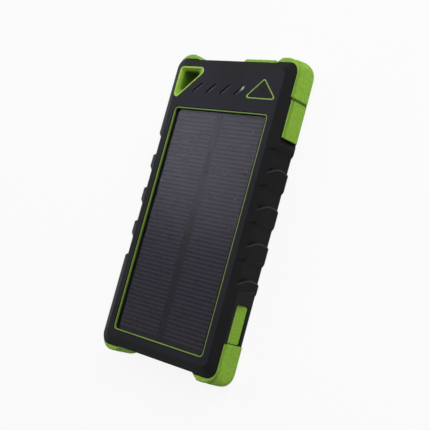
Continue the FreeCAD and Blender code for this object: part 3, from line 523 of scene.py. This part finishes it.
# %% Smoke the light pipes
def smoked(name, colour, specular=0.5):
    """Smoked clear plastic with a faint haze."""
    material, tree, shader, place = finish(name, colour, 0.25, specular)
    haze = noise(tree, place, 1.2 * mm)
    relief(tree, shader, haze, 0.02 * mm, 0.3)
    uneven_gloss(tree, shader, haze, 0.2, 0.35)
    return material


def light_up(material, stops, colour, strength):
    """Let a material glow along X; each stop gives a place in mm and the share of light there."""
    tree = material.node_tree
    shader = tree.nodes["Principled BSDF"]
    place = tree.nodes["Texture Coordinate"].outputs["Object"]
    glow = mix_colours(tree, share_along(tree, place, "X", stops), (0.0, 0.0, 0.0), colour)
    tree.links.new(glow, shader.inputs["Emission Color"])
    shader.inputs["Emission Strength"].default_value = strength


pipe_smoked = smoked("smoked pipe", (0.006, 0.006, 0.007), 0.12)
pipe_lit = smoked("lit pipe", (0.006, 0.012, 0.008), 0.12)
pipe_left, pipe_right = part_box("light_pipe_4")
middle = (pipe_left.x + pipe_right.x) / 2 / mm
glowing = [(-1.0, 0), (0.0, 0.08), (0.8, 0.35), (1.4, 1), (1.9, 0.35), (2.6, 0.02)]
glow_stops = [(middle + place, share) for place, share in glowing]
light_up(pipe_lit, glow_stops, (0.62, 1.0, 0.68), 0.6)
print("the lit pipe's middle is at", round(middle, 2), "mm")

# %% [markdown]
# ### The small lights under the pipes
#
# They are dabs of clear resin with a chip inside, and only show when the case is open. A lamp in
# each would light nothing that is seen. They take the same haze as the pipes, in a paler tone,
# and the green one glows evenly.

# %% Small lights
led_white = smoked("white light", (0.7, 0.7, 0.6))
led_green = smoked("green light", (0.2, 0.8, 0.2))
led_shader = led_green.node_tree.nodes["Principled BSDF"]
led_shader.inputs["Emission Color"].default_value = (0.3, 1.0, 0.4, 1)
led_shader.inputs["Emission Strength"].default_value = 1.0
print(led_white.name, "and", led_green.name)

# %% [markdown]
# ### Metals
#
# The sockets are bent from plated steel and show when their flaps are open, and the steel screws
# show on the back. A metal is mostly its reflections, so its gloss varies more than its colour:
# one noise serves as the rolled or brushed grain.


# %% Metals
def metal(name, colour, roughness, grain):
    """Bare or plated metal with a brushed or rolled grain of the given size."""
    material, tree, shader, place = finish(name, colour, roughness)
    shader.inputs["Metallic"].default_value = 1.0
    brushed = noise(tree, place, grain, 4.0)
    uneven_gloss(tree, shader, brushed, roughness - 0.1, roughness + 0.12)
    relief(tree, shader, brushed, 0.03 * mm, 0.3)
    return material


socket_steel = metal("socket steel", (0.62, 0.62, 0.64), 0.3, 0.4 * mm)
screw_steel = metal("screw steel", (0.32, 0.32, 0.34), 0.4, 0.3 * mm)
nickel = metal("nickel", (0.62, 0.60, 0.55), 0.35, 0.5 * mm)
can_metal = metal("capacitor can", (0.7, 0.7, 0.72), 0.3, 1 * mm)
pouch_foil = metal("pouch foil", (0.7, 0.71, 0.73), 0.45, 2 * mm)
print("five metals")

# %% [markdown]
# ### Parts inside
#
# The parts inside the case are seen only when it is taken apart, but they are real parts, so each
# gets what it is made of. Two close tones in fine spots are enough to tell plastic, lacquered
# board, foam and wire from a flat colour.


# %% Plastics, board, foam and wire
def moulded(name, dark, light, roughness, grain=0.5 * mm):
    """A plain moulded or coated material in two close tones."""
    material, tree, shader, place = finish(name, light, roughness)
    spots = stretch(tree, noise(tree, place, grain, 3.0), 0.3, 0.7, 0, 1)
    tree.links.new(mix_colours(tree, spots, dark, light), shader.inputs["Base Color"])
    uneven = stretch(tree, spots, 0, 1, roughness - 0.05, roughness + 0.05)
    tree.links.new(uneven, shader.inputs["Roughness"])
    relief(tree, shader, spots, 0.05 * mm, 0.3)
    return material


socket_white = moulded("socket insert", (0.60, 0.60, 0.58), (0.72, 0.72, 0.70), 0.5)
connector_cream = moulded("connector", (0.68, 0.66, 0.58), (0.78, 0.76, 0.68), 0.5)
circuit_green = moulded("circuit board", (0.008, 0.10, 0.035), (0.015, 0.16, 0.06), 0.3, 1.5 * mm)
ferrite = moulded("ferrite", (0.05, 0.05, 0.05), (0.09, 0.09, 0.09), 0.7)
chip_black = moulded("chip", (0.015, 0.015, 0.015), (0.025, 0.025, 0.025), 0.6)
foam_black = moulded("foam tape", (0.02, 0.02, 0.02), (0.05, 0.05, 0.05), 0.95, 0.8 * mm)
seal_black = moulded("seal", (0.02, 0.02, 0.02), (0.035, 0.035, 0.035), 0.8)
wire_red = moulded("wire", (0.35, 0.02, 0.02), (0.5, 0.03, 0.03), 0.5)
ribbon_grey = moulded("flat cable", (0.6, 0.6, 0.58), (0.72, 0.72, 0.7), 0.5)
print(len(bpy.data.materials), "materials")

# %% [markdown]
# ## Dress the parts that keep their CAD shape
#
# Flat panels, boards, sockets and fasteners have the right shape already. They could be copied
# and rounded like the mouldings below, but at their size nobody would see it, so they only get a
# material.


# %% Paint the carried-over parts
def paint(nodes, material):
    """Give parts of the CAD model a material."""
    for node in nodes:
        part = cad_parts[node]
        for slot in part.material_slots:
            slot.material = material


pipes = ["light_pipe_" + str(number) for number in range(1, 5)]
leds = ["charge_led_" + str(number) for number in range(1, 5)]
paint(["solar_cell_left", "solar_cell_right"], cell_violet)
paint(["bus_strip"], bus_dark)
paint(["solar_board"], board_black)
paint(["panel_tape", "battery_tape", "battery_pads"], foam_black)
paint(pipes[:3], pipe_smoked)
paint(pipes[3:], pipe_lit)
paint(leds[:3], led_white)
paint(leds[3:], led_green)
paint(["usb_shell_side", "usb_shell_end", "micro_usb_shell"], socket_steel)
paint(["usb_tongue_side", "usb_tongue_end", "micro_usb_tongue", "switch_plunger"], socket_white)
paint(["main_board", "charge_board", "guard_board"], circuit_green)
paint(["boost_inductor"], ferrite)
paint(["capacitors"], can_metal)
paint(["controller_chip", "tact_switch"], chip_black)
paint(["battery_connector"], connector_cream)
paint(["battery_pouch"], pouch_foil)
paint(["battery_tabs"], nickel)
paint(["battery_leads", "solar_leads"], wire_red)
paint(["charge_ribbon"], ribbon_grey)
paint(["case_seal"], seal_black)
paint(["case_screws", "board_screws"], screw_steel)
print("CAD parts painted")

# %% [markdown]
# ## Soft edges
#
# Moulded plastic and rubber have no sharp corners: a mould can't be cut that sharp, and the
# small roundings are what catch the light. A subdivision surface would round them too, but it
# needs extra edges beside every corner. The Bevel modifier needs none. So a copy of each visible
# moulded part is merged into one skin, its flat faces are cleaned of needless edges, and the
# corners that are left are bevelled. Weighted normals then keep the large faces flat in the
# shading, so that only the roundings turn the light.


# %% Round a moulded part
merge_gap = 0.002 * mm
flat_angle = math.radians(0.6)
corner_angle = math.radians(28)
smooth_angle = math.radians(35)


def only(piece):
    """Make one piece the selected and active one."""
    if bpy.context.object and bpy.context.object.mode != "OBJECT":
        bpy.ops.object.mode_set(mode="OBJECT")
    bpy.ops.object.select_all(action="DESELECT")
    piece.select_set(True)
    bpy.context.view_layer.objects.active = piece


def softened(node, width, segments=2):
    """Copy one CAD part, merge its skin and round its edges by the given width."""
    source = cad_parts[node]
    piece = bpy.data.objects.new("soft_" + node, source.data.copy())
    bpy.context.scene.collection.objects.link(piece)
    only(piece)
    bpy.ops.object.mode_set(mode="EDIT")
    bpy.ops.mesh.select_all(action="SELECT")
    bpy.ops.mesh.remove_doubles(threshold=merge_gap)
    bpy.ops.mesh.dissolve_limited(angle_limit=flat_angle)
    bpy.ops.object.mode_set(mode="OBJECT")
    bevel = piece.modifiers.new("soft edges", "BEVEL")
    bevel.width = width
    bevel.segments = segments
    bevel.limit_method = "ANGLE"
    bevel.angle_limit = corner_angle
    bevel.miter_outer = "MITER_ARC"
    bpy.ops.object.modifier_apply(modifier=bevel.name)
    bpy.ops.object.shade_smooth_by_angle(angle=smooth_angle)
    level = piece.modifiers.new("level shading", "WEIGHTED_NORMAL")
    level.keep_sharp = True
    bpy.ops.object.modifier_apply(modifier=level.name)
    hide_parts(node)
    print(piece.name, len(piece.data.polygons), "faces")
    return piece


# %% [markdown]
# ## The two shells
#
# The hard plastic shells are the body that all else is mounted on. Hard plastic is moulded with
# small roundings, a third of a millimetre in front and less on the back, which lies on the table.
# Every finished piece is told which body it rides on, so that it follows when that body moves.


# %% Shells
def keep(piece, body, material):
    """Give a new piece its body and its material."""
    piece.data.materials.clear()
    piece.data.materials.append(material)
    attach(piece, body)
    return piece


keep(softened("front_housing", 0.35 * mm, 3), "case", case_black)
keep(softened("rear_cover", 0.25 * mm), "case", cover_black)

# %% [markdown]
# ## Guards and flaps
#
# The four guards are rubber mouldings pressed over the corners, and each flap is a rubber lid on
# a strip that bends. Modelled as one piece, the flaps could not open. They are three pieces, each
# on its own body, and only the one on the side has the lip, with painted shade in its groove.

# %% Guards and flaps
guard_rounding = 0.3 * mm
flap_rounding = 0.25 * mm
for corner in ("top_left", "top_right", "bottom_left", "bottom_right"):
    guard = softened("corner_bumper_" + corner, guard_rounding, 3)
    keep(guard, "case", guard_green)
for port, rubber in (("side", flap_green), ("end", plain_green), ("charge", plain_green)):
    flap = softened(port + "_port_flap", flap_rounding, 3)
    keep(flap, port + "_flap", rubber)

# %% [markdown]
# ## Eyelet, trim and button
#
# The eyelet is a rubber tube right through the case, the window's trim is a thin frame, and the
# button is a black triangle in a green outline. Their CAD shapes are right, down to the on-off
# mark, and what the eye misses is only the rounding. The button gets the smallest one, because
# its mark is fine, and it rides on a body of its own, which sinks when it is pressed.

# %% Eyelet, window trim and button
keep(softened("lanyard_eyelet", 0.25 * mm, 3), "case", eyelet_green)
keep(softened("window_ring", 0.2 * mm, 3), "case", trim_green)
keep(softened("button_surround", 0.2 * mm, 3), "case", trim_green)
keep(softened("power_button", 0.12 * mm, 2), "button", case_black)

# %% [markdown]
# ## Painted highlights on the ledges
#
# Four curved ledges down each side stop the fingers from slipping. Their edges catch the light as
# thin bright lines. A shader can find edges by itself, but not in every renderer. So the lines are
# thin pieces of their own, coloured paler as a painted highlight, which fades into the case's black
# towards the front, where the edges show no highlight.


# %% Painted edge highlight
highlight_start, highlight_full = 17 * mm, 8 * mm


def painted_edge_highlight():
    """Black plastic painted paler low on the wall as a highlight, fading to black near the front.
    """
    material, tree, shader, place = finish("painted edge highlight", (0.06, 0.06, 0.064), 0.45, 0.2)
    highlight_grain = noise(tree, place, 1.5 * mm, 3.0)
    fade = stretch(tree, height_of(tree, place), highlight_start, highlight_full, 0, 1)
    # painted highlight: a paler tone for the edge lines, faded to black towards the front
    highlight_tone = mix_colours(tree, highlight_grain, (0.021, 0.021, 0.026), (0.046, 0.046, 0.056))
    tone = mix_colours(tree, fade, (0.010, 0.010, 0.012), highlight_tone)
    tree.links.new(tone, shader.inputs["Base Color"])
    relief(tree, shader, highlight_grain, 0.02 * mm, 0.3)
    uneven_gloss(tree, shader, highlight_grain, 0.38, 0.52)
    return material


edge_highlight = painted_edge_highlight()
print(edge_highlight.name, "fades out above", round(highlight_full / mm, 1), "mm")

# %% [markdown]
# ## Where the ledges run
#
# A ledge's edge is an arc that stands on the side wall, seen from the side, and leans in over
# the case's bevel above it. Its points could be picked from the wall's mesh one by one, but a
# formula is shorter and follows the parts. The wall, the foot of the bevel and the front face are
# read from them, and the arc has the radius and centre height of the CAD model, in millimetres.

# %% Measure the ledges
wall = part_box("front_housing")[1].x / mm
wall_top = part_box("corner_bumper_top_left")[1].z / mm
face_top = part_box("front_housing")[1].z / mm
bevel_width = 5.3
arc_radius, arc_height = 13.65, 7.5
first_ledge, ledge_pitch, ledge_count = -29.05, 18.7, 4
ledges = [first_ledge + ledge_pitch * number for number in range(ledge_count)]


def ledge_point(ledge, z):
    """The X and Y of a ledge's edge at a height, on the right side, in millimetres."""
    y = ledge - arc_radius + math.sqrt(arc_radius**2 - (z - arc_height) ** 2)
    x = wall - max(0, z - wall_top) * bevel_width / (face_top - wall_top)
    return x, y


for ledge in ledges:
    print("ledge at y", round(ledge, 2), "leans in to x", round(ledge_point(ledge, face_top)[0], 2))

# %% [markdown]
# ## Highlight lines on the ledges
#
# The line could be cut out of the wall's own mesh, but then the wall would have to be split along
# every arc. A tube that is sunk almost to its full depth in the rounding of the edge looks the
# same. It is drawn as a curve, because a curve has a bevel radius at each point and can thin out
# towards both ends. Then it is made a mesh, and the caps at its ends are merged on.

# %% Follow the ledges
tube_radius, tube_depth = 0.58, 0.50
line_foot, line_top, steps = 1.4, 17.2, 28
foot_share, top_share, least_share, taper_length = 0.3, 0.1, 0.2, 2.0


def thickness_share(z):
    """How thick the tube is at a height: 1 in the middle, and less towards both ends."""
    from_foot = foot_share + (z - line_foot) / taper_length
    from_top = top_share + (line_top - z) / taper_length
    return max(least_share, min(1, from_foot, from_top))


def ledge_line(name, side, ledge):
    """A thin tube along one ledge's edge, on the side that the sign gives."""
    line = bpy.data.curves.new(name, "CURVE")
    line.dimensions = "3D"
    line.bevel_depth = tube_radius * mm
    line.bevel_resolution = 3
    line.use_fill_caps = True
    spline = line.splines.new("POLY")
    spline.points.add(steps)
    for step in range(steps + 1):
        z = line_foot + (line_top - line_foot) * step / steps
        x, y = ledge_point(ledge, z)
        centre = (side * (x - tube_depth) * mm, (y - tube_depth) * mm, z * mm, 1)
        spline.points[step].co = centre
        spline.points[step].radius = thickness_share(z)
    piece = bpy.data.objects.new(name, line)
    bpy.context.scene.collection.objects.link(piece)
    only(piece)
    bpy.ops.object.convert(target="MESH")
    piece = bpy.context.object
    bpy.ops.object.mode_set(mode="EDIT")
    bpy.ops.mesh.select_all(action="SELECT")
    bpy.ops.mesh.remove_doubles(threshold=merge_gap)
    bpy.ops.mesh.normals_make_consistent(inside=False)
    bpy.ops.object.mode_set(mode="OBJECT")
    bpy.ops.object.shade_smooth()
    return piece


for side, word in ((1, "right"), (-1, "left")):
    for number, ledge in enumerate(ledges, start=1):
        line = ledge_line("ledge_edge_" + word + "_" + str(number), side, ledge)
        keep(line, "case", edge_highlight)
        print(line.name, len(line.data.polygons), "faces")

# %% [markdown]
# ## The panel's clear film
#
# In the CAD model the film fills every space round the cells, so its faces touch theirs. Two
# faces in one place render badly. The CAD film could be carved into shape with a Boolean
# modifier, but all that shows of it is its top. So a copy of it is reduced to the top face, and
# that face is drawn down to a sheet which stops just above the cells.

# %% Lift the film off the cells
film_thickness = 0.28 * mm
level_tolerance = 0.01 * mm


def film_sheet(node, thickness):
    """The film's top face, drawn down by its thickness."""
    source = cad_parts[node]
    sheet = bpy.data.objects.new("clear_sheet", source.data.copy())
    bpy.context.scene.collection.objects.link(sheet)
    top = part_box(node)[1].z
    for edge in sheet.data.edges:
        edge.select = False
    for point in sheet.data.vertices:
        point.select = False
    for face in sheet.data.polygons:
        face.select = face.center.z < top - level_tolerance or face.normal.z < 0.9
    only(sheet)
    bpy.ops.object.mode_set(mode="EDIT")
    bpy.ops.mesh.select_mode(type="FACE")
    bpy.ops.mesh.delete(type="FACE")
    bpy.ops.mesh.select_all(action="SELECT")
    bpy.ops.mesh.remove_doubles(threshold=merge_gap)
    bpy.ops.mesh.extrude_region_move(TRANSFORM_OT_translate={"value": (0, 0, -thickness)})
    bpy.ops.mesh.select_all(action="SELECT")
    bpy.ops.mesh.normals_make_consistent(inside=False)
    bpy.ops.mesh.select_mode(type="VERT")
    bpy.ops.object.mode_set(mode="OBJECT")
    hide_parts(node)
    return sheet


clear_sheet = keep(film_sheet("panel_film", film_thickness), "case", film_clear)
sheet_heights = [corner[2] / mm for corner in clear_sheet.bound_box]
print("the film lies from", round(min(sheet_heights), 2), "to", round(max(sheet_heights), 2), "mm")

# %% [markdown]
# ## The cells' fingers
#
# Each column of cells is crossed by fine silver lines that carry its current to the middle. They
# could be stripes in the cells' material, but printed silver lies on the cell, and real strips
# stay sharp at any distance. One line is a thin flat bar with rounded ends: a plane whose corners
# are bevelled, drawn up to its thickness. An Array modifier repeats it at an even pitch.

# %% Print the fingers
finger_pitch = 2.18 * mm
finger_width = 1.0 * mm
finger_height = 0.012 * mm
finger_end_radius = 0.3 * mm
inner_inset = 1.1 * mm
outer_inset = 0.3 * mm


def fingers(column):
    """The printed lines across one column of cells."""
    low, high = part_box("solar_cell_" + column)
    length = high.x - low.x - inner_inset - outer_inset
    middle = (low + high) / 2
    shift = (inner_inset - outer_inset) / 2
    middle.x += shift if middle.x > 0 else -shift
    count = int((high.y - low.y) / finger_pitch)
    first = middle.y - finger_pitch * (count - 1) / 2
    bpy.ops.object.select_all(action="DESELECT")
    place = (middle.x, first, high.z)
    bpy.ops.mesh.primitive_plane_add(size=1, location=place)
    lines = bpy.context.object
    lines.name = "cell_fingers_" + column
    lines.scale = (length, finger_width, 1)
    bpy.ops.object.transform_apply(location=True, rotation=True, scale=True)
    bpy.ops.object.mode_set(mode="EDIT")
    bpy.ops.mesh.select_all(action="SELECT")
    bpy.ops.mesh.bevel(affect="VERTICES", offset=finger_end_radius, segments=4)
    bpy.ops.mesh.extrude_region_move(TRANSFORM_OT_translate={"value": (0, 0, finger_height)})
    bpy.ops.mesh.select_all(action="SELECT")
    bpy.ops.mesh.normals_make_consistent(inside=False)
    bpy.ops.object.mode_set(mode="OBJECT")
    repeat = lines.modifiers.new("repeat", "ARRAY")
    repeat.use_relative_offset = False
    repeat.use_constant_offset = True
    repeat.constant_offset_displace = (0, finger_pitch, 0)
    repeat.count = count
    bpy.ops.object.modifier_apply(modifier=repeat.name)
    print(lines.name, count, "lines,", len(lines.data.polygons), "faces")
    return lines


for column in ("left", "right"):
    keep(fingers(column), "case", finger_silver)
